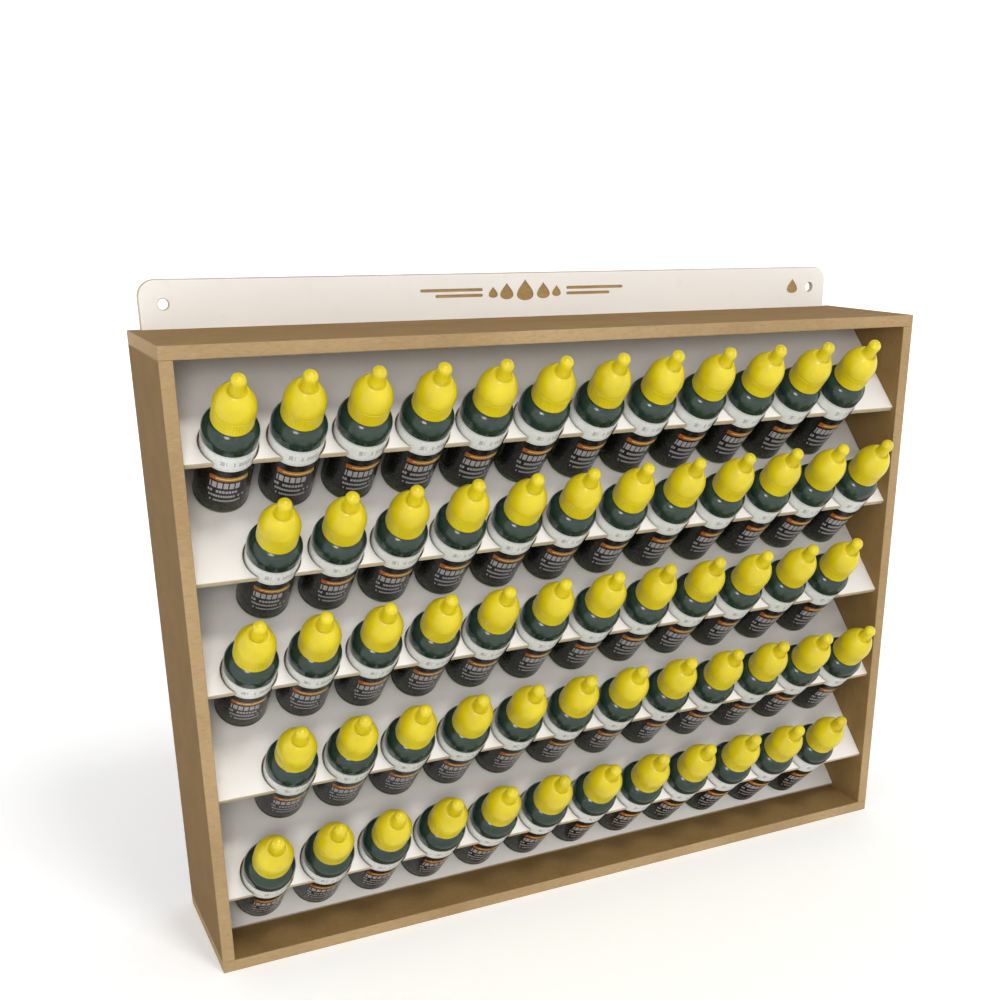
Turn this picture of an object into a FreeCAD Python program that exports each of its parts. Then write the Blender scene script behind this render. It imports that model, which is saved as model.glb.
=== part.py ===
# Paint rack organizer: a shallow open-fronted box of fibreboard with slanted bottle shelves,
# holding sixty dropper bottles of hobby paint that lean out towards the user.
#
# X runs across the rack, Y from front to back and Z up, in millimetres. The origin is the
# centre of the bottom board's underside.
import FreeCAD, Part
import math
import os

os.makedirs("parts", exist_ok=True)

# ------------------------------------------------------------------ driving dimensions, mm

# Frame of four boards, with the top and bottom boards lapping the sides.
rack_width = 400.0
rack_height = 300.0
rack_depth = 75.0
board_thickness = 6.0

# Back panel, let in between the sides and standing up behind the top board.
panel_thickness = 3.0
panel_rise = 22.0
panel_corner_radius = 8.0
hanging_hole_diameter = 5.0
hanging_hole_inset = 11.0

# Shelves, all parallel, falling towards the front.
shelf_angle = 45.0
shelf_thickness = 3.0
shelf_setback = 3.0
top_shelf_edge_height = 250.0
groove_depth = 2.0
seat_diameter = 26.0
seat_setback = 10.0

# Rows of bottles, counted from the top. Even rows stand half a pitch further right.
row_count = 5
row_rise = 53.0
bottles_per_row = 12
bottle_pitch = 30.0

# Filled bottle, on its own axis, with heights from its base.
bottle_diameter = 25.0
base_corner_radius = 1.5
shoulder_start = 47.5
shoulder_radius = 7.0
neck_diameter = 15.0
neck_top = 62.0
neck_bore_diameter = 9.2
neck_bore_depth = 8.0
base_gap = 0.05

# Dropper nozzle, pressed into the neck.
nozzle_plug_length = 7.0
nozzle_flange_diameter = 14.0
nozzle_flange_thickness = 1.2
nozzle_cone_diameter = 10.8
nozzle_cone_top = 75.0
nozzle_tip_diameter = 3.4
nozzle_top = 79.5
nozzle_orifice_diameter = 1.2

# Bell-shaped screw cap with a short knob over the nozzle.
cap_diameter = 18.6
cap_bore_diameter = 16.2
cap_rim = 54.2
cap_rim_bevel = 0.4
cap_skirt_top = 62.0
cap_bell_top = 75.0
cap_knob_diameter = 6.8
cap_top = 83.0
cap_wall = 1.2

# ------------------------------------------------------------------ derived sizes

front_y = -rack_depth / 2
back_y = rack_depth / 2
panel_front_y = back_y - panel_thickness
inner_width = rack_width - 2 * board_thickness
top_board_underside = rack_height - board_thickness
shelf_width = inner_width + 2 * groove_depth
slope_cos = math.cos(math.radians(shelf_angle))
slope_sin = math.sin(math.radians(shelf_angle))
shelf_edge_y = front_y + shelf_setback
shelf_spacing = row_rise * slope_cos
row_length = bottle_pitch * (bottles_per_row - 1)


# ------------------------------------------------------------------ helpers

def block(width, depth, height, corner):
    """Box with its lowest corner at corner."""
    return Part.makeBox(width, depth, height, FreeCAD.Vector(*corner))


def slope_placement(row):
    """Frame of a shelf: local Y up the slope, local Z off its top face, origin at its edge."""
    edge_height = top_shelf_edge_height - row_rise * (row - 1)
    turn = FreeCAD.Rotation(FreeCAD.Vector(1, 0, 0), shelf_angle)
    return FreeCAD.Placement(FreeCAD.Vector(0, shelf_edge_y, edge_height), turn)


def row_positions(row):
    """X of each bottle axis in a row."""
    quarter = bottle_pitch / 4
    shift = quarter if row % 2 == 0 else -quarter
    return [shift - row_length / 2 + bottle_pitch * place for place in range(bottles_per_row)]


class Outline:
    """Closed half-section of a turned piece, as (radius, height) points from the axis."""

    def __init__(self, radius, height):
        self.start = FreeCAD.Vector(radius, 0, height)
        self.point = self.start
        self.edges = []

    def line(self, radius, height):
        end = FreeCAD.Vector(radius, 0, height)
        self.edges.append(Part.LineSegment(self.point, end).toShape())
        self.point = end
        return self

    def arc(self, middle, end):
        through = FreeCAD.Vector(middle[0], 0, middle[1])
        finish = FreeCAD.Vector(end[0], 0, end[1])
        self.edges.append(Part.Arc(self.point, through, finish).toShape())
        self.point = finish
        return self

    def turned(self):
        """Solid of revolution about the local Z axis."""
        if (self.point - self.start).Length > 1e-9:
            self.line(self.start.x, self.start.z)
        face = Part.Face(Part.Wire(self.edges))
        return face.revolve(FreeCAD.Vector(0, 0, 0), FreeCAD.Vector(0, 0, 1), 360)


def polar(centre, radius, angle):
    """Point of a section at an angle, in degrees, about an arc's centre."""
    turn = math.radians(angle)
    return (centre[0] + radius * math.cos(turn), centre[1] + radius * math.sin(turn))


def save(name, shape):
    if not shape.isValid():
        raise ValueError(name + " is not a valid solid")
    shape.exportStep("parts/" + name + ".step")


# ------------------------------------------------------------------ rack

def shelf_run(row):
    """Start and end of a shelf along its slope, counted from its row's edge line."""
    edge_height = top_shelf_edge_height - row_rise * (row - 1)
    floor_reach = board_thickness + shelf_thickness * slope_cos - edge_height
    start = max(0.0, floor_reach / slope_sin)
    to_panel = (panel_front_y - shelf_edge_y - shelf_thickness * slope_sin) / slope_cos
    to_top_board = (top_board_underside - edge_height) / slope_sin
    return start, min(to_panel, to_top_board)


def plain_shelf(row):
    start, end = shelf_run(row)
    corner = (-shelf_width / 2, start, -shelf_thickness)
    shelf = block(shelf_width, end - start, shelf_thickness, corner)
    shelf.Placement = slope_placement(row).multiply(shelf.Placement)
    return shelf


def bottle_shelf(row):
    """Shelf with a round seat for each bottle, open at the front edge."""
    cutters = []
    for x in row_positions(row):
        foot = FreeCAD.Vector(x, seat_setback, -2 * shelf_thickness)
        cutters.append(Part.makeCylinder(seat_diameter / 2, 4 * shelf_thickness, foot))
    seats = Part.makeCompound(cutters)
    seats.Placement = slope_placement(row)
    return plain_shelf(row).cut(seats)


def side_board(side):
    """Side board with a stopped groove for each shelf's end; side is -1 or 1."""
    inner_x = side * inner_width / 2
    outer_x = side * rack_width / 2
    height = rack_height - 2 * board_thickness
    corner = (min(inner_x, outer_x), front_y, board_thickness)
    board = block(board_thickness, rack_depth, height, corner)
    for row in range(1, row_count + 2):
        board = board.cut(plain_shelf(row))
    return board


def top_board():
    """Top board with a recess in its back edge for the panel."""
    corner = (-rack_width / 2, front_y, top_board_underside)
    board = block(rack_width, rack_depth, board_thickness, corner)
    recess_corner = (-inner_width / 2, panel_front_y, top_board_underside - 1)
    recess = block(inner_width, panel_thickness + 1, board_thickness + 2, recess_corner)
    return board.cut(recess)


def bottom_board():
    corner = (-rack_width / 2, front_y, 0)
    return block(rack_width, rack_depth, board_thickness, corner)


def back_panel():
    """Panel with rounded top corners and two hanging holes."""
    panel_top = rack_height + panel_rise
    height = panel_top - board_thickness
    corner = (-inner_width / 2, panel_front_y, board_thickness)
    panel = block(inner_width, panel_thickness, height, corner)
    top_corners = []
    for edge in panel.Edges:
        middle = edge.CenterOfMass
        runs_through = abs(edge.Length - panel_thickness) < 1e-6
        if runs_through and abs(middle.z - panel_top) < 1e-6:
            top_corners.append(edge)
    panel = panel.makeFillet(panel_corner_radius, top_corners)
    for side in (-1, 1):
        x = side * (inner_width / 2 - hanging_hole_inset)
        foot = FreeCAD.Vector(x, panel_front_y - 1, panel_top - hanging_hole_inset)
        drill = Part.makeCylinder(
            hanging_hole_diameter / 2, panel_thickness + 2, foot, FreeCAD.Vector(0, 1, 0))
        panel = panel.cut(drill)
    return panel


# ------------------------------------------------------------------ bottle pieces, upright

def filled_bottle():
    """Bottle and its paint as one solid, with the open bore of the neck."""
    radius = bottle_diameter / 2
    neck = neck_diameter / 2
    bore = neck_bore_diameter / 2
    base_centre = (radius - base_corner_radius, base_corner_radius)
    dome_centre = (radius - shoulder_radius, shoulder_start)
    neck_angle = math.degrees(math.acos((neck - dome_centre[0]) / shoulder_radius))
    dome_end = polar(dome_centre, shoulder_radius, neck_angle)
    section = Outline(0, 0)
    section.line(base_centre[0], 0)
    section.arc(polar(base_centre, base_corner_radius, -45), (radius, base_corner_radius))
    section.line(radius, shoulder_start)
    section.arc(polar(dome_centre, shoulder_radius, neck_angle / 2), dome_end)
    section.line(neck, neck_top)
    section.line(bore, neck_top)
    section.line(bore, neck_top - neck_bore_depth)
    section.line(0, neck_top - neck_bore_depth)
    return section.turned()


def dropper_nozzle():
    orifice = nozzle_orifice_diameter / 2
    plug = neck_bore_diameter / 2
    flange = nozzle_flange_diameter / 2
    flange_top = neck_top + nozzle_flange_thickness
    tip = nozzle_tip_diameter / 2
    section = Outline(orifice, neck_top - nozzle_plug_length)
    section.line(plug, neck_top - nozzle_plug_length)
    section.line(plug, neck_top)
    section.line(flange, neck_top)
    section.line(flange, flange_top)
    section.line(nozzle_cone_diameter / 2, flange_top)
    section.line(tip, nozzle_cone_top)
    section.line(tip, nozzle_top)
    section.line(orifice, nozzle_top)
    return section.turned()


def screw_cap():
    """Hollow cap: straight skirt, bell and knob outside, a matching hollow inside."""
    outer = cap_diameter / 2
    bore = cap_bore_diameter / 2
    knob = cap_knob_diameter / 2
    hollow_knob = knob - cap_wall
    bell_drop = cap_bell_top - cap_skirt_top
    bell_middle = (outer - 0.24 * (outer - knob), cap_skirt_top + 0.58 * bell_drop)
    knob_centre = (0, cap_top - knob)
    section = Outline(bore, cap_rim)
    section.line(outer - cap_rim_bevel, cap_rim)
    section.line(outer, cap_rim + cap_rim_bevel)
    section.line(outer, cap_skirt_top)
    section.arc(bell_middle, (knob, cap_bell_top))
    section.line(knob, cap_top - knob)
    section.arc(polar(knob_centre, knob, 45), (0, cap_top))
    section.line(0, cap_top - cap_wall)
    section.line(hollow_knob, cap_top - 2 * cap_wall)
    section.line(hollow_knob, cap_bell_top)
    section.line(bell_middle[0] - 1.4 * cap_wall, bell_middle[1])
    section.line(bore, cap_skirt_top + cap_wall)
    return section.turned()


def seated(piece, row, x):
    """The upright piece moved to its place in a row, its axis square to the shelves."""
    foot = FreeCAD.Vector(x, seat_setback, base_gap - shelf_spacing)
    moved = piece.copy()
    moved.Placement = slope_placement(row).multiply(FreeCAD.Placement(foot, FreeCAD.Rotation()))
    return moved


# ------------------------------------------------------------------ write the sub-parts

save("top_board", top_board())
save("bottom_board", bottom_board())
save("left_side", side_board(-1))
save("right_side", side_board(1))
save("back_panel", back_panel())
save("base_shelf", plain_shelf(row_count + 1))
for row in range(1, row_count + 1):
    save("bottle_shelf_%d" % row, bottle_shelf(row))

bottle_pieces = {"bottle": filled_bottle(), "nozzle": dropper_nozzle(), "cap": screw_cap()}

# The top row's bottles are separate sub-parts; each lower row shares one sub-part per piece.
for word, piece in bottle_pieces.items():
    for number, x in enumerate(row_positions(1), start=1):
        save("%s_row1_%02d" % (word, number), seated(piece, 1, x))
    for row in range(2, row_count + 1):
        group = [seated(piece, row, x) for x in row_positions(row)]
        save("%ss_row%d" % (word, row), Part.makeCompound(group))
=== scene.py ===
import math

import bmesh
import bpy
from mathutils import Matrix, Vector


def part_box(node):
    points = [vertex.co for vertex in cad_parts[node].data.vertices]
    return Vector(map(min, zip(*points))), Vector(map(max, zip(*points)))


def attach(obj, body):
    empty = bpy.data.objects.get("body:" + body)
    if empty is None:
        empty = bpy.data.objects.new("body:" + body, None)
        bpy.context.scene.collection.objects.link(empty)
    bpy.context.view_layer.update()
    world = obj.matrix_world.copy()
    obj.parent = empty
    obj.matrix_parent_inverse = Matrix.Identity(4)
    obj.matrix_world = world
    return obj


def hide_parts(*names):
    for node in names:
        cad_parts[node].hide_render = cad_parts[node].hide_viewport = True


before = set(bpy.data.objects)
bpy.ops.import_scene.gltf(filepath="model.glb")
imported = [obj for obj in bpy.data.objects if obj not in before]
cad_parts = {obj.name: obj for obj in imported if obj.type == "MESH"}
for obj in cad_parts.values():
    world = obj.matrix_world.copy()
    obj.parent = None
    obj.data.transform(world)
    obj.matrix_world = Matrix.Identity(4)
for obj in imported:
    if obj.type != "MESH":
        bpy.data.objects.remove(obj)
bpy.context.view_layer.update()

MM = 0.001

# Bottle, nozzle and cap on their own axis, in millimetres; heights are from the bottle's base.
BOTTLE_RADIUS = 12.5
LABEL_BOTTOM = 3.3
LABEL_TOP = 43.6
LABEL_SEAT_RADIUS = 12.33
FOOT_CORNER = 1.5
SHOULDER_START = 47.5
SHOULDER_RADIUS = 7.0
SHOULDER_CENTRE = (BOTTLE_RADIUS - SHOULDER_RADIUS, SHOULDER_START)
NECK_RADIUS = 7.5
NECK_TOP = 62.0
BORE_RADIUS = 4.6
CAP_RADIUS = 9.3
CAP_BORE = 8.1
CAP_RIM = 54.2
CAP_BAND_TOP = 62.0
CAP_BELL_MIDDLE = (7.884, 69.54)
KNOB_RADIUS = 3.4
BELL_TOP = 75.0
CAP_WALL = 1.2

# Ribs round the cap's band: lowest and highest point, number and depth.
CAP_RIBS = (55.0, 61.2, 48, 0.22)

# Label: how far it is wrapped each way from its middle, the radius under it, how far its end
# rises over its start, its thickness, and half its length at the middle of its thickness.
LABEL_WRAP = math.radians(184)
LABEL_RADIUS = 12.36
LABEL_RISE = 0.065
LABEL_FILM = 0.05
LABEL_HALF_LENGTH = LABEL_WRAP * 12.43

# Rows: bottles in each, lean, and what is added to a lower row's number for its seed.
BOTTLES_PER_ROW = 12
LEAN = math.radians(45)
LOWER_ROW_SEED = 40

# Boards: how far their edges are eased, how deep they are engraved, the directions that their
# flat faces look in, and how nearly a face looks in a board's front direction to be its front.
EASE = 0.35 * MM
ENGRAVING_DEPTH = 0.35 * MM
FLAT_WAYS = ((1, 0, 0), (0, 1, 0), (0, 0, 1), (0, 1, 1), (0, -1, 1))
FACING = 0.93

# Ornament on the hanging strip, in millimetres: the place, height and size of each drop, and the
# distance from the middle, height, length and thickness of each rule.
DROPS = ((0.0, 313.4, 10.5), (-10.5, 313.0, 8.2), (10.5, 313.0, 8.2), (-18.2, 312.6, 5.6),
         (18.2, 312.6, 5.6), (171.0, 311.8, 8.0))
RULES = ((41.0, 314.0, 34.0, 1.5), (37.0, 311.2, 26.0, 1.5))


# ---------------------------------------------------------------- materials

class Finish:
    """A named material, with short ways to add nodes to it and join them."""

    def __init__(self, name, roughness, **sockets):
        self.material = bpy.data.materials.new(name)
        self.material.use_nodes = True
        self.tree = self.material.node_tree
        self.shader = self.tree.nodes["Principled BSDF"]
        self.shader.inputs["Roughness"].default_value = roughness
        for socket, value in sockets.items():
            self.shader.inputs[socket.replace("_", " ")].default_value = value

    def node(self, kind, inputs=(), **settings):
        """A node with its settings made and its inputs joined or set; returns the node."""
        made = self.tree.nodes.new("ShaderNode" + kind)
        for setting, value in settings.items():
            setattr(made, setting, value)
        for socket, value in dict(inputs).items():
            if isinstance(value, bpy.types.NodeSocket):
                self.tree.links.new(value, made.inputs[socket])
            else:
                made.inputs[socket].default_value = value
        return made

    def place(self, stretch=(1, 1, 1)):
        """Object coordinates, stretched along the axes."""
        where = self.node("TexCoord").outputs["Object"]
        return self.node("Mapping", {"Vector": where, "Scale": stretch}).outputs["Vector"]

    def noise(self, scale, detail=3.0, stretch=(1, 1, 1)):
        inputs = {"Vector": self.place(stretch), "Scale": scale, "Detail": detail}
        return self.node("TexNoise", inputs).outputs["Fac"]

    def calc(self, operation, *values):
        return self.node("Math", dict(enumerate(values)), operation=operation).outputs[0]

    def spread(self, value, low, high, to_low=0.0, to_high=1.0):
        """A value's range mapped to another, and held within it."""
        inputs = {0: value, 1: low, 2: high, 3: to_low, 4: to_high}
        return self.node("MapRange", inputs).outputs["Result"]

    def blend(self, factor, first, second):
        """Colour from first to second as factor goes from 0 to 1."""
        mixer = self.node("Mix", data_type="RGBA")
        for place, value in ((0, factor), (6, first), (7, second)):
            if isinstance(value, bpy.types.NodeSocket):
                self.tree.links.new(value, mixer.inputs[place])
            elif place == 0:
                mixer.inputs[place].default_value = value
            else:
                mixer.inputs[place].default_value = (*value, 1.0)
        return mixer.outputs[2]

    def give(self, socket, value):
        self.tree.links.new(value, self.shader.inputs[socket])

    def relief(self, height, depth, strength=1.0):
        """Bump of a given depth, in metres."""
        inputs = {"Height": height, "Distance": depth, "Strength": strength}
        self.give("Normal", self.node("Bump", inputs).outputs["Normal"])

    def attribute(self, name):
        return self.node("Attribute", attribute_name=name).outputs["Fac"]


def board_face(name, dark, light):
    """Smooth pressed face of raw fibreboard: soft clouds and fine specks of fibre."""
    finish = Finish(name, 0.82, Specular_IOR_Level=0.12)
    clouds = finish.spread(finish.noise(60, 6.0), 0.3, 0.7)
    specks = finish.noise(1400, 2.0)
    fibres = finish.noise(420, 3.0, (1.0, 1.0, 0.35))
    colour = finish.blend(clouds, dark, light)
    darker = tuple(0.62 * part for part in dark)
    paler = tuple(min(1.0, 1.3 * part) for part in light)
    colour = finish.blend(finish.spread(specks, 0.56, 0.78, 0.0, 0.45), colour, darker)
    colour = finish.blend(finish.spread(fibres, 0.55, 0.8, 0.0, 0.4), colour, paler)
    finish.give("Base Color", colour)
    finish.give("Roughness", finish.spread(clouds, 0.0, 1.0, 0.76, 0.88))
    finish.relief(finish.calc("ADD", specks, fibres), 0.00006, 0.7)
    return finish.material


def board_edge(name, dark, light):
    """Sawn edge of raw fibreboard: open fibres, with a little soiling where it is handled."""
    finish = Finish(name, 0.9, Specular_IOR_Level=0.15)
    fibres = finish.noise(900, 4.0, (0.35, 1.0, 1.0))
    tone = finish.noise(16, 3.0)
    colour = finish.blend(finish.spread(tone, 0.3, 0.7), dark, light)
    soiled = tuple(0.66 * part for part in dark)
    pale = tuple(min(1.0, 1.15 * part) for part in light)
    colour = finish.blend(finish.spread(fibres, 0.52, 0.75, 0.0, 0.35), colour, soiled)
    colour = finish.blend(finish.spread(fibres, 0.28, 0.45, 0.35, 0.0), colour, pale)
    finish.give("Base Color", colour)
    finish.relief(fibres, 0.00012, 0.8)
    return finish.material


def white_face():
    """Painted face of the thin boards: faintly clouded white with a fine pebbled coat."""
    finish = Finish("white_painted_face", 0.5, Specular_IOR_Level=0.4)
    clouds = finish.spread(finish.noise(9, 4.0), 0.3, 0.7)
    pebbles = finish.noise(1900, 2.0)
    dust = finish.spread(finish.noise(160, 5.0), 0.60, 0.80, 0.0, 0.22)
    colour = finish.blend(clouds, (0.720, 0.688, 0.645), (0.790, 0.762, 0.722))
    colour = finish.blend(dust, colour, (0.60, 0.55, 0.49))
    finish.give("Base Color", colour)
    finish.give("Roughness", finish.spread(clouds, 0.0, 1.0, 0.42, 0.56))
    finish.relief(pebbles, 0.00002, 0.5)
    return finish.material


def bottle_plastic():
    """Glossy soft plastic over dark paint, clearer at the thick foot of the bottle."""
    finish = Finish("paint_filled_plastic", 0.16, Specular_IOR_Level=0.4, Coat_Weight=0.15,
                    Coat_Roughness=0.06)
    height = finish.attribute("height")
    swirl = finish.noise(85, 3.0)
    paint = finish.blend(
        finish.spread(swirl, 0.3, 0.7), (0.009, 0.024, 0.018), (0.014, 0.034, 0.025))
    film = finish.spread(height, 47.0, 55.0, 0.0, 0.15)
    paint = finish.blend(film, paint, (0.030, 0.062, 0.045))
    foot = finish.spread(height, 0.4, 3.6, 0.85, 0.0)
    finish.give("Base Color", finish.blend(foot, paint, (0.075, 0.080, 0.018)))
    finish.give("Roughness", finish.spread(finish.noise(90, 2.0), 0.35, 0.7, 0.12, 0.18))
    return finish.material


def cap_plastic():
    """Yellow moulded plastic with faint flow marks and a satin gloss."""
    finish = Finish("yellow_cap_plastic", 0.3, Specular_IOR_Level=0.45, Coat_Weight=0.2,
                    Coat_Roughness=0.14)
    flow = finish.spread(finish.noise(75, 4.0), 0.3, 0.7)
    grain = finish.noise(2100, 2.0)
    colour = finish.blend(flow, (0.520, 0.412, 0.0015), (0.640, 0.525, 0.003))
    handled = finish.spread(finish.noise(300, 5.0), 0.6, 0.8, 0.0, 0.3)
    colour = finish.blend(handled, colour, (0.430, 0.300, 0.002))
    finish.give("Base Color", colour)
    finish.give("Roughness", finish.spread(flow, 0.0, 1.0, 0.28, 0.40))
    finish.relief(grain, 0.00002, 0.5)
    return finish.material


def nozzle_plastic():
    """Natural, slightly cloudy plastic of the dropper nozzle."""
    finish = Finish("natural_nozzle_plastic", 0.4, Subsurface_Weight=0.15)
    cloud = finish.spread(finish.noise(240, 3.0), 0.3, 0.7)
    finish.give("Base Color", finish.blend(cloud, (0.66, 0.67, 0.62), (0.80, 0.80, 0.76)))
    finish.relief(finish.noise(1500, 2.0), 0.00002, 0.5)
    return finish.material


# The label's layout: left, right, bottom and top of each field in millimetres, with x from the
# middle of its front. Rows of bars also have the step from bar to bar and the share printed.
PALE_STRIP_BOTTOM = 33.0
STRIP_RULES = ((42.7, 43.2, 0.50), (33.8, 34.1, 0.42))
STRIP_BARS = ((-5.5, -2.6, 36.8, 39.8, 3.0, 2.0), (0.2, 8.2, 36.6, 39.4, 1.3, 0.8))
COLOUR_BAR = (-9.4, 8.4, 25.4, 28.4)
COLOUR_BAR_LINE = (-6.6, 6.6, 26.6, 27.2)
PRINTED_ROWS = (
    (-9.0, 8.2, 19.8, 24.0, 2.6, 0.86), (-9.4, 7.6, 16.2, 18.0, 1.4, 0.74),
    (-9.4, 8.2, 12.9, 14.4, 1.1, 0.80), (-8.2, 6.0, 9.6, 10.9, 0.9, 0.70))
UPRIGHT_RULE = (10.6, 11.2, 8.0, 31.0)
SIDE_BARS = (-30.0, -16.0, 9.0, 27.0, 1.9, 0.35)
BAR_WIDTH = 0.78


def label_print():
    """Printed film: a pale strip over a dark field with a colour bar and plain rows of bars."""
    finish = Finish("printed_label_film", 0.3, Specular_IOR_Level=0.28, Coat_Weight=0.06,
                    Coat_Roughness=0.1)
    uv = finish.node("SeparateXYZ", {0: finish.node("UVMap", uv_map="UVMap").outputs["UV"]})
    across = finish.spread(uv.outputs["X"], 0.0, 1.0, -LABEL_HALF_LENGTH, LABEL_HALF_LENGTH)
    height = finish.spread(uv.outputs["Y"], 0.0, 1.0, LABEL_BOTTOM, LABEL_TOP)

    def field(left, right, low, high):
        """1 inside a rectangle of the unrolled label, in millimetres, and 0 outside."""
        wide = finish.calc("COMPARE", across, (left + right) / 2, (right - left) / 2)
        tall = finish.calc("COMPARE", height, (low + high) / 2, (high - low) / 2)
        return finish.calc("MULTIPLY", wide, tall)

    def bars(left, right, low, high, step, filled):
        """Rectangle broken into plain bars of a step's width, some of them left out."""
        steps = finish.calc("DIVIDE", across, step)
        cell = finish.calc("ADD", finish.calc("FLOOR", steps), low * 13.0)
        drawn = finish.node("TexWhiteNoise", {"W": cell}, noise_dimensions="1D").outputs["Value"]
        drawn = finish.calc("LESS_THAN", drawn, filled)
        solid = finish.calc("LESS_THAN", finish.calc("FRACT", steps), BAR_WIDTH)
        shown = finish.calc("MULTIPLY", drawn, solid)
        return finish.calc("MULTIPLY", shown, field(left, right, low, high))

    speckle = finish.noise(900, 2.0)
    grain = finish.spread(speckle, 0.3, 0.7)
    pale = finish.blend(grain, (0.66, 0.675, 0.66), (0.70, 0.715, 0.70))
    dark = finish.blend(grain, (0.004, 0.0045, 0.004), (0.010, 0.0105, 0.009))
    smoke = finish.spread(height, 4.0, 10.0, 0.35, 0.0)
    dark = finish.blend(smoke, dark, (0.055, 0.062, 0.028))
    colour = finish.blend(finish.calc("GREATER_THAN", height, PALE_STRIP_BOTTOM), dark, pale)
    for low, high, strength in STRIP_RULES:
        rule_drawn = finish.calc("MULTIPLY", field(-40.0, 40.0, low, high), strength)
        colour = finish.blend(rule_drawn, colour, (0.20, 0.22, 0.21))
    grey = finish.calc("ADD", bars(*STRIP_BARS[0]), bars(*STRIP_BARS[1]))
    colour = finish.blend(finish.calc("MULTIPLY", grey, 0.55), colour, (0.22, 0.22, 0.24))
    fade = finish.spread(across, -8.0, 7.0)
    bar_tone = finish.blend(fade, (0.36, 0.095, 0.012), (0.46, 0.25, 0.03))
    colour = finish.blend(field(*COLOUR_BAR), colour, bar_tone)
    colour = finish.blend(field(*COLOUR_BAR_LINE), colour, (0.72, 0.56, 0.24))
    for row in PRINTED_ROWS:
        row_drawn = finish.calc("MULTIPLY", bars(*row), 0.72)
        colour = finish.blend(row_drawn, colour, (0.52, 0.50, 0.52))
    colour = finish.blend(field(*UPRIGHT_RULE), colour, (0.20, 0.20, 0.21))
    colour = finish.blend(bars(*SIDE_BARS), colour, (0.07, 0.075, 0.07))
    finish.give("Base Color", colour)
    finish.give("Roughness", finish.spread(speckle, 0.3, 0.7, 0.24, 0.34))
    return finish.material


# ---------------------------------------------------------------- turned masters

def arc(centre, radius, start, end, steps):
    """Points on an arc of a section, with angles in degrees."""
    points = []
    for step in range(steps + 1):
        turn = math.radians(start + (end - start) * step / steps)
        points.append((centre[0] + radius * math.cos(turn), centre[1] + radius * math.sin(turn)))
    return points


def circle_through(first, middle, last):
    """Centre and radius of the circle through three points."""
    (ax, ay), (bx, by), (cx, cy) = first, middle, last
    twice = 2 * (ax * (by - cy) + bx * (cy - ay) + cx * (ay - by))
    a, b, c = ax * ax + ay * ay, bx * bx + by * by, cx * cx + cy * cy
    x = (a * (by - cy) + b * (cy - ay) + c * (ay - by)) / twice
    y = (a * (cx - bx) + b * (ax - cx) + c * (bx - ax)) / twice
    return (x, y), math.hypot(ax - x, ay - y)


def finished_mesh(name, form, sharp=38):
    """A mesh from a bmesh, shaded smooth apart from its sharp edges."""
    mesh = bpy.data.meshes.new(name)
    form.to_mesh(mesh)
    form.free()
    mesh.shade_smooth()
    mesh.set_sharp_from_angle(angle=math.radians(sharp))
    return mesh


def add_turned(form, outline, segments, ripple=None):
    """Turn an outline of (radius, height) points about the axis and add it to a bmesh.

    ripple is (lowest height, highest height, count, depth) of the ribs cut into the surface."""
    rings = []
    for radius, height in outline:
        if radius < 1e-6:
            rings.append([form.verts.new((0, 0, height * MM))])
            continue
        ring = []
        for segment in range(segments):
            turn = 2 * math.pi * segment / segments
            reach = radius
            if ripple and ripple[0] <= height <= ripple[1] and radius > CAP_BORE + 0.5:
                reach -= ripple[3] * (0.5 - 0.5 * math.cos(ripple[2] * turn))
            ring.append(form.verts.new((
                reach * MM * math.cos(turn), reach * MM * math.sin(turn), height * MM)))
        rings.append(ring)
    for lower, upper in zip(rings, rings[1:]):
        if len(lower) == len(upper) == 1:
            continue
        for segment in range(segments):
            after = (segment + 1) % segments
            if len(lower) == 1:
                form.faces.new((lower[0], upper[after], upper[segment]))
            elif len(upper) == 1:
                form.faces.new((lower[segment], lower[after], upper[0]))
            else:
                form.faces.new((lower[segment], lower[after], upper[after], upper[segment]))


def add_thread(form, radius, crest, low, high, turns, segments):
    """Helical ridge of a screw thread, tapered away at both ends."""
    total = int(turns * segments)
    sections = []
    for step in range(total + 1):
        turn = 2 * math.pi * step / segments
        height = low + (high - low) * step / total
        fade = min(1.0, step / (0.12 * total), (total - step) / (0.12 * total))
        reach = radius - 0.15 + (crest - radius + 0.15) * fade
        ring = []
        root = radius - 0.3
        for out, up in ((root, -0.85), (reach, -0.25), (reach, 0.25), (root, 0.85)):
            ring.append(form.verts.new((
                out * MM * math.cos(turn), out * MM * math.sin(turn), (height + up) * MM)))
        sections.append(ring)
    for lower, upper in zip(sections, sections[1:]):
        for side in range(4):
            after = (side + 1) % 4
            form.faces.new((lower[side], lower[after], upper[after], upper[side]))
    form.faces.new(sections[0])
    form.faces.new(list(reversed(sections[-1])))


def note_height(mesh):
    """Keep each point's height on its upright piece, in millimetres, for its material."""
    heights = mesh.attributes.new("height", "FLOAT", "POINT")
    for value, point in zip(heights.data, mesh.vertices):
        value.value = point.co.z / MM


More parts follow.
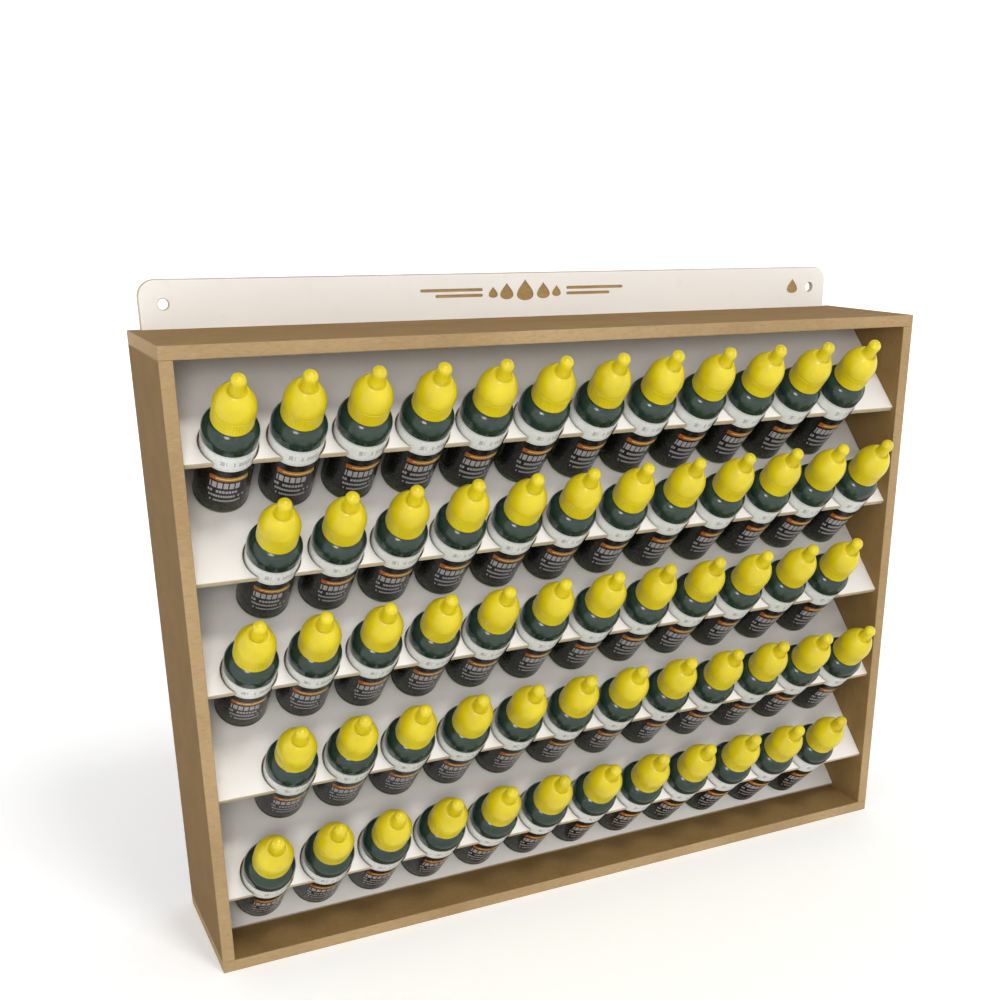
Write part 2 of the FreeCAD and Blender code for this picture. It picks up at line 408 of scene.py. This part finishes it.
def bottle_mesh():
    neck_turn = math.degrees(math.acos((NECK_RADIUS - SHOULDER_CENTRE[0]) / SHOULDER_RADIUS))
    foot_centre = (BOTTLE_RADIUS - FOOT_CORNER, FOOT_CORNER)
    outline = [(0, 1.3), (4.5, 1.2), (8.2, 0.75), (9.6, 0.2), (10.3, 0.0)]
    outline += arc(foot_centre, FOOT_CORNER, -90, 0, 5)
    outline += [(12.5, 2.5), (LABEL_SEAT_RADIUS, 2.8), (LABEL_SEAT_RADIUS, 24.0)]
    outline += [(LABEL_SEAT_RADIUS, 44.0), (12.46, 44.2), (12.5, 44.5), (12.5, 46.0)]
    outline += arc(SHOULDER_CENTRE, SHOULDER_RADIUS, 0, neck_turn, 12)
    outline += [(NECK_RADIUS, 54.6), (NECK_RADIUS, 61.5), (7.3, 61.9), (7.0, NECK_TOP)]
    outline += [(4.9, NECK_TOP), (BORE_RADIUS, 61.8), (BORE_RADIUS, 54.2), (0, 54.2)]
    form = bmesh.new()
    add_turned(form, outline, 56)
    bmesh.ops.recalc_face_normals(form, faces=form.faces)
    thread = bmesh.new()
    add_thread(thread, NECK_RADIUS, 7.95, 56.4, 59.8, 1.4, 40)
    bmesh.ops.recalc_face_normals(thread, faces=thread.faces)
    helix = bpy.data.meshes.new("neck_thread")
    thread.to_mesh(helix)
    thread.free()
    form.from_mesh(helix)
    bpy.data.meshes.remove(helix)
    mesh = finished_mesh("dropper_bottle", form)
    note_height(mesh)
    return mesh


def nozzle_mesh():
    outline = [(0.6, 77.2), (0.6, 79.3), (0.8, 79.5), (1.4, 79.5), (1.65, 79.25), (1.7, 78.9)]
    outline += [(1.7, 75.3), (1.9, 74.5), (3.4, 69.5), (3.75, 69.3), (3.75, 68.5), (3.7, 68.3)]
    outline += [(5.15, 64.0), (5.35, 63.45), (5.8, 63.2), (6.7, 63.2), (6.95, 63.0), (7.0, 62.8)]
    outline += [(7.0, 62.2), (6.85, 62.0), (4.7, 62.0), (4.55, 61.8), (4.55, 60.9), (4.4, 60.7)]
    outline += [(4.4, 58.2), (4.55, 58.0), (4.55, 57.2), (4.3, 55.4), (4.0, 55.0), (0, 55.0)]
    form = bmesh.new()
    add_turned(form, [(0, 77.2)] + outline, 36)
    bmesh.ops.recalc_face_normals(form, faces=form.faces)
    return finished_mesh("dropper_nozzle", form)


def cap_mesh():
    """Bell-shaped cap: ribbed band, dome with a moat round the knob, and its hollow inside."""
    skirt = (CAP_RADIUS, CAP_BAND_TOP)
    centre, radius = circle_through(skirt, CAP_BELL_MIDDLE, (KNOB_RADIUS, BELL_TOP))
    low = math.degrees(math.atan2(skirt[1] - centre[1], skirt[0] - centre[0]))
    high = math.degrees(math.atan2(BELL_TOP - centre[1], KNOB_RADIUS - centre[0]))
    dome = arc(centre, radius, low, low + 0.88 * (high - low), 12)
    inside = [point for point in arc(centre, radius - CAP_WALL, low, high, 9) if point[0] > 2.6]
    lip, crest = dome[-1]
    outline = [(CAP_BORE, 54.6), (8.3, 54.25), (8.9, CAP_RIM), (9.15, 54.35), (9.25, 54.7)]
    outline += [(9.3, 55.1), (9.3, 58.0), (9.3, 61.1), (9.28, 61.4), (9.16, 61.55)]
    outline += [(9.14, 61.75), (9.26, 61.95)] + dome[1:]
    outline += [(lip - 0.25, crest + 0.04), (lip - 0.55, crest - 0.06), (4.1, crest - 0.36)]
    outline += [(3.75, crest - 0.42), (3.45, crest - 0.2), (3.25, crest + 0.4)]
    outline += [(3.12, crest + 1.5), (3.12, 77.5), (3.28, 79.0)]
    outline += arc((0.35, 79.9), 2.95, 0, 90, 8) + [(0, 82.85)]
    under = [(0, 81.4), (1.6, 81.2), (2.15, 80.4), (2.15, 74.0)] + list(reversed(inside))
    outline += under + [(CAP_BORE, 60.0)]
    form = bmesh.new()
    add_turned(form, outline + [outline[0]], 144, CAP_RIBS)
    bmesh.ops.remove_doubles(form, verts=form.verts, dist=1e-7)
    bmesh.ops.recalc_face_normals(form, faces=form.faces)
    return finished_mesh("bell_cap", form, 42)


def label_mesh():
    """Film wrapped once round the bottle, with its end lapped over its start."""
    form = bmesh.new()
    unrolled = form.loops.layers.uv.new("UVMap")
    sections = []
    steps = 76
    for step in range(steps + 1):
        share = step / steps
        turn = -math.pi / 2 + LABEL_WRAP * (2 * share - 1)
        radius = LABEL_RADIUS + LABEL_RISE * share
        ring = []
        for out, height in ((0, LABEL_BOTTOM), (LABEL_FILM, LABEL_BOTTOM + 0.03),
                            (LABEL_FILM, LABEL_TOP - 0.03), (0, LABEL_TOP)):
            reach = (radius + out) * MM
            ring.append(form.verts.new((
                reach * math.cos(turn), reach * math.sin(turn), height * MM)))
        sections.append((share, ring))
    for (share, ring), (next_share, after) in zip(sections, sections[1:]):
        for side in range(4):
            upper = (side + 1) % 4
            face = form.faces.new((ring[side], after[side], after[upper], ring[upper]))
            places = ((share, side), (next_share, side), (next_share, upper), (share, upper))
            for loop, (along, corner) in zip(face.loops, places):
                loop[unrolled].uv = (along, 0.0 if corner in (0, 1) else 1.0)
    form.faces.new(list(reversed(sections[0][1])))
    form.faces.new(sections[-1][1])
    bmesh.ops.recalc_face_normals(form, faces=form.faces)
    return finished_mesh("wrapped_label", form, 50)


# ---------------------------------------------------------------- rows of bottles

def row_tree():
    """Geometry Nodes tree that stands copies of a piece in a leaning row."""
    tree = bpy.data.node_groups.new("leaning_row", "GeometryNodeTree")
    face = tree.interface
    face.new_socket("Piece", in_out="INPUT", socket_type="NodeSocketGeometry")
    for name, kind in (("Count", "Int"), ("Pitch", "Float"), ("First Foot", "Vector"),
                       ("Lean", "Float"), ("Turn Spread", "Float"), ("Seed", "Int"),
                       ("Finish", "Material")):
        face.new_socket(name, in_out="INPUT", socket_type="NodeSocket" + kind)
    face.new_socket("Row", in_out="OUTPUT", socket_type="NodeSocketGeometry")
    nodes, join = tree.nodes, tree.links.new
    given = nodes.new("NodeGroupInput")
    result = nodes.new("NodeGroupOutput")
    step = nodes.new("ShaderNodeCombineXYZ")
    line = nodes.new("GeometryNodeMeshLine")
    line.mode = "OFFSET"
    stand = nodes.new("GeometryNodeInstanceOnPoints")
    lean = nodes.new("GeometryNodeRotateInstances")
    lean_turn = nodes.new("ShaderNodeCombineXYZ")
    twist = nodes.new("GeometryNodeRotateInstances")
    twist_turn = nodes.new("ShaderNodeCombineXYZ")
    lowest = nodes.new("ShaderNodeMath")
    lowest.operation = "MULTIPLY"
    lowest.inputs[1].default_value = -1.0
    chance = nodes.new("FunctionNodeRandomValue")
    chance.data_type = "FLOAT"
    realize = nodes.new("GeometryNodeRealizeInstances")
    finish = nodes.new("GeometryNodeSetMaterial")
    join(given.outputs["Pitch"], step.inputs["X"])
    join(given.outputs["Count"], line.inputs["Count"])
    join(given.outputs["First Foot"], line.inputs["Start Location"])
    join(step.outputs[0], line.inputs["Offset"])
    join(line.outputs["Mesh"], stand.inputs["Points"])
    join(given.outputs["Piece"], stand.inputs["Instance"])
    join(stand.outputs["Instances"], lean.inputs["Instances"])
    join(given.outputs["Lean"], lean_turn.inputs["X"])
    join(lean_turn.outputs[0], lean.inputs["Rotation"])
    join(lean.outputs["Instances"], twist.inputs["Instances"])
    join(given.outputs["Turn Spread"], lowest.inputs[0])
    join(lowest.outputs[0], chance.inputs[2])
    join(given.outputs["Turn Spread"], chance.inputs[3])
    join(given.outputs["Seed"], chance.inputs["Seed"])
    join(chance.outputs[1], twist_turn.inputs["Z"])
    join(twist_turn.outputs[0], twist.inputs["Rotation"])
    join(twist.outputs["Instances"], realize.inputs["Geometry"])
    join(realize.outputs["Geometry"], finish.inputs["Geometry"])
    join(given.outputs["Finish"], finish.inputs["Material"])
    join(finish.outputs["Geometry"], result.inputs["Row"])
    return tree


def link(name, mesh):
    piece = bpy.data.objects.new(name, mesh)
    bpy.context.scene.collection.objects.link(piece)
    return piece


def plain_copy(piece):
    """Replace a piece's modifiers with the mesh that they make."""
    view = bpy.context.evaluated_depsgraph_get()
    made = bpy.data.meshes.new_from_object(piece.evaluated_get(view), depsgraph=view)
    piece.modifiers.clear()
    piece.data = made
    return piece


def stand_row(name, master, tree, values):
    """One row of a piece as a plain mesh; values are the tree's inputs by name."""
    piece = link(name, master.copy())
    maker = piece.modifiers.new("leaning_row", "NODES")
    maker.node_group = tree
    for socket in tree.interface.items_tree:
        if socket.in_out == "INPUT" and socket.name in values:
            maker[socket.identifier] = values[socket.name]
    return plain_copy(piece)


# ---------------------------------------------------------------- boards

def eased_board(name, node, front, finishes):
    """Copy of a board with eased edges. front is the direction its best face looks in, and
    finishes are the materials of that face, of the cut edges and of the face behind."""
    form = bmesh.new()
    form.from_mesh(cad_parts[node].data)
    bmesh.ops.remove_doubles(form, verts=form.verts, dist=1e-6)
    bmesh.ops.dissolve_limit(form, angle_limit=math.radians(0.5), verts=form.verts,
                             edges=form.edges)
    sharp = [edge for edge in form.edges
             if len(edge.link_faces) == 2 and edge.calc_face_angle() > math.radians(30)]
    bmesh.ops.bevel(form, geom=sharp, offset=EASE, offset_type="OFFSET", segments=2,
                    profile=0.5, affect="EDGES", clamp_overlap=True)
    toward = Vector(front).normalized()
    for face in form.faces:
        facing = face.normal.dot(toward)
        face.material_index = 0 if facing > FACING else 2 if facing < -FACING else 1
    piece = link(name, finished_mesh(name, form, 30))
    for finish in finishes:
        piece.data.materials.append(finish)
    return piece


def shade_flat(mesh):
    """Shade a board's flat faces flat, so that only its eased edges and round cuts are smooth."""
    ways = [Vector(way).normalized() for way in FLAT_WAYS]
    for face in mesh.polygons:
        face.use_smooth = max(abs(face.normal.dot(way)) for way in ways) < 0.99999


def droplet(across, height, size):
    """Outline of a plain drop, its point upwards."""
    points = []
    for step in range(30):
        turn = 2 * math.pi * step / 30
        swell = 0.66 * size * math.sin(turn) * math.sin(turn / 2) ** 1.6
        points.append((across + swell, height + size / 2 * math.cos(turn)))
    return points


def rule(across, height, length, thickness):
    """Outline of a plain bar with round ends."""
    half = length / 2 - thickness / 2
    right = arc((across + half, height), thickness / 2, -90, 90, 8)
    left = arc((across - half, height), thickness / 2, 90, 270, 8)
    return right + left


def engrave(board, outlines, front, depth, finish):
    """Cut flat-bottomed outlines, in millimetres, into a board whose face is at y = front."""
    form = bmesh.new()
    for outline in outlines:
        near = [form.verts.new((x * MM, front - 0.5 * MM, z * MM)) for x, z in outline]
        far = [form.verts.new((x * MM, front + depth, z * MM)) for x, z in outline]
        form.faces.new(near)
        form.faces.new(list(reversed(far)))
        for place in range(len(near)):
            after = (place + 1) % len(near)
            form.faces.new((near[place], far[place], far[after], near[after]))
    bmesh.ops.recalc_face_normals(form, faces=form.faces)
    cutter = link("engraving_cutter", finished_mesh("engraving_cutter", form))
    cutter.data.materials.append(finish)
    cut = board.modifiers.new("engraving", "BOOLEAN")
    cut.operation = "DIFFERENCE"
    cut.solver = "EXACT"
    cut.material_mode = "TRANSFER"
    cut.object = cutter
    plain_copy(board)
    bpy.data.objects.remove(cutter)
    board.data.set_sharp_from_angle(angle=math.radians(30))


# ---------------------------------------------------------------- build

# outer_face and inner_face are one fibreboard in two tones: the darker outer copy is painted
# shade, the lighter inner copy painted light.
outer_face = board_face("fibreboard_face_painted_shade", (0.160, 0.093, 0.033), (0.202, 0.122, 0.045))
inner_face = board_face("fibreboard_face_painted_light", (0.238, 0.144, 0.053), (0.292, 0.182, 0.070))
fibre_edge = board_edge("fibreboard_cut_edge", (0.300, 0.202, 0.100), (0.385, 0.272, 0.145))
thin_edge = board_edge("thin_board_cut_edge", (0.400, 0.325, 0.215), (0.510, 0.430, 0.310))
engraved = board_edge("engraved_ground", (0.300, 0.190, 0.072), (0.410, 0.280, 0.130))
white = white_face()

side_finishes = (outer_face, fibre_edge, inner_face)
level_finishes = (inner_face, fibre_edge, outer_face)
thin_finishes = (white, thin_edge, outer_face)
shelf_front = (0, -1, 1)
rack_boards = {
    "top_board": ((0, 0, 1), level_finishes, "fibreboard"),
    "bottom_board": ((0, 0, 1), level_finishes, "fibreboard"),
    "left_side": ((-1, 0, 0), side_finishes, "fibreboard"),
    "right_side": ((1, 0, 0), side_finishes, "fibreboard"),
    "back_panel": ((0, -1, 0), thin_finishes, "white_board"),
    "base_shelf": (shelf_front, thin_finishes, "white_board"),
}
for number in range(1, 6):
    rack_boards["bottle_shelf_%d" % number] = (shelf_front, thin_finishes, "white_board")

ornament = [droplet(*drop) for drop in DROPS]
for side in (-1, 1):
    for across, height, length, thickness in RULES:
        ornament.append(rule(side * across, height, length, thickness))

for node, (front, finishes, slot) in rack_boards.items():
    board = eased_board("eased_" + node, node, front, finishes)
    if node == "back_panel":
        engrave(board, ornament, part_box(node)[0].y, ENGRAVING_DEPTH, engraved)
    shade_flat(board.data)
    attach(board, "rack")
    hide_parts(node)

turned_pieces = (
    ("bottle", bottle_mesh(), bottle_plastic(), "bottle_plastic"),
    ("label", label_mesh(), label_print(), "bottle_plastic"),
    ("nozzle", nozzle_mesh(), nozzle_plastic(), "nozzle_plastic"),
    ("cap", cap_mesh(), cap_plastic(), "cap_plastic"),
)
leaning_row = row_tree()

# A leaning bottle's lowest and rearmost points are this far from the centre of its foot.
FOOT_REACH = (BOTTLE_RADIUS - FOOT_CORNER * (2 - math.sqrt(2))) * math.cos(LEAN) * MM
TURN_SPREAD = {"bottle": 0.0, "label": math.radians(7), "nozzle": 0.0, "cap": math.radians(180)}


def first_foot(node):
    """Centre of the foot of a node's first bottle, and the pitch of the row."""
    low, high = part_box(node)
    radius = BOTTLE_RADIUS * MM
    pitch = (high.x - low.x - 2 * radius) / (BOTTLES_PER_ROW - 1)
    return Vector((low.x + radius, high.y - FOOT_REACH, low.z + FOOT_REACH)), pitch


def add_bottles(title, node, count, seed, bodies, replaced):
    """Stand every piece of a bottle, or of a row of bottles, in its place."""
    foot, pitch = first_foot(node)
    for word, master, finish, slot in turned_pieces:
        values = {"Count": count, "Pitch": pitch, "First Foot": foot, "Lean": LEAN,
                  "Turn Spread": TURN_SPREAD[word], "Seed": seed, "Finish": finish}
        piece = stand_row(word + title, master, leaning_row, values)
        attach(piece, bodies[word])
        if word in replaced:
            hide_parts(replaced[word])


for number in range(1, BOTTLES_PER_ROW + 1):
    place = "_row1_%02d" % number
    holder = "bottle_1_%02d" % number
    bodies = {"bottle": holder, "label": holder, "nozzle": holder, "cap": "cap_1_%02d" % number}
    replaced = {word: word + place for word in ("bottle", "nozzle", "cap")}
    add_bottles("_piece" + place, "bottle" + place, 1, number, bodies, replaced)

for row in range(2, 6):
    body = "row_%d_bottles" % row
    bodies = {word: body for word in TURN_SPREAD}
    replaced = {word: "%ss_row%d" % (word, row) for word in ("bottle", "nozzle", "cap")}
    add_bottles("s_piece_row%d" % row, "bottles_row%d" % row, BOTTLES_PER_ROW,
                LOWER_ROW_SEED + row, bodies, replaced)

# ---------------------------------------------------------------- floor, light and camera

# Floor and wall, in millimetres.
FLOOR_RADIUS = 2400
WALL_SWEEP = 900
WALL_TOP = 2600

# Lamps: name, place in metres, side of the square in metres, power in watts and colour.
LAMPS = (
    ("high_front", (0.15, -1.0, 1.75), 0.35, 11.5, (1.0, 0.985, 0.96)),
    ("low_left", (-0.65, -1.5, 0.6), 0.4, 6.0, (1.0, 0.99, 0.97)),
)
LIT_POINT = (0.0, 0.0, 0.15)

# Camera: place in metres, angles in degrees, lens in millimetres and shift in picture widths.
CAMERA_PLACE = (-0.29, -0.58, 0.355)
CAMERA_AZIMUTH = -27.51
CAMERA_ELEVATION = 20.65
CAMERA_ROLL = 0.41
CAMERA_LENS = 44.99
CAMERA_SHIFT = (-0.0736, 0.1756)


def studio_floor():
    """Pale floor that rises all round into a pale wall."""
    form = bmesh.new()
    outline = [(0, 0), (600, 0), (1400, 0), (FLOOR_RADIUS, 0)]
    outline += arc((FLOOR_RADIUS, WALL_SWEEP), WALL_SWEEP, -90, 0, 14)
    add_turned(form, outline + [(FLOOR_RADIUS + WALL_SWEEP, WALL_TOP)], 96)
    for face in form.faces:
        outward = face.normal.dot(face.calc_center_median()) > 0
        if face.normal.z < 0 or (face.normal.z < 0.01 and outward):
            face.normal_flip()
    floor = link("studio_floor", finished_mesh("studio_floor", form, 60))
    finish = Finish("pale_floor", 0.7, Emission_Color=(1.0, 1.0, 1.0, 1.0))
    # Painted light: the floor glows, faintly near the rack and more the further it is from it.
    away = finish.node("VectorMath", {0: finish.place()}, operation="LENGTH").outputs["Value"]
    finish.give("Emission Strength", finish.spread(away, 0.2, 1.2, 0.19, 0.45))
    shade = finish.spread(finish.noise(3, 2.0), 0.3, 0.7)
    finish.give("Base Color", finish.blend(shade, (0.92, 0.92, 0.92), (0.94, 0.94, 0.94)))
    finish.material.cycles.emission_sampling = "NONE"
    floor.data.materials.append(finish.material)


def soft_light(name, place, side, power, colour):
    lamp = bpy.data.lights.new(name, "AREA")
    lamp.shape = "RECTANGLE"
    lamp.size = side
    lamp.size_y = side
    lamp.energy = power
    lamp.color = colour
    light = link(name, lamp)
    light.location = place
    toward = Vector(LIT_POINT) - Vector(place)
    light.rotation_euler = toward.to_track_quat("-Z", "Y").to_euler()


def studio():
    bpy.context.scene.view_settings.view_transform = "Standard"
    world = bpy.data.worlds.new("studio_air")
    bpy.context.scene.world = world
    world.use_nodes = True
    air = world.node_tree.nodes["Background"]
    air.inputs["Color"].default_value = (0.985, 0.985, 1.0, 1.0)
    air.inputs["Strength"].default_value = 0.3
    for lamp in LAMPS:
        soft_light(*lamp)


def camera():
    azimuth = math.radians(CAMERA_AZIMUTH)
    elevation = math.radians(CAMERA_ELEVATION)
    lens = bpy.data.cameras.new("camera")
    lens.sensor_width = 36.0
    lens.lens = CAMERA_LENS
    lens.shift_x, lens.shift_y = CAMERA_SHIFT
    lens.clip_start = 0.01
    lens.clip_end = 20.0
    eye = link("camera", lens)
    forward = Vector((-math.sin(azimuth) * math.cos(elevation),
                      math.cos(azimuth) * math.cos(elevation), -math.sin(elevation)))
    aim = forward.to_track_quat("-Z", "Y").to_matrix().to_4x4()
    roll = Matrix.Rotation(math.radians(CAMERA_ROLL), 4, "Z")
    eye.matrix_world = Matrix.Translation(CAMERA_PLACE) @ aim @ roll
    bpy.context.scene.camera = eye


studio_floor()
studio()
camera()
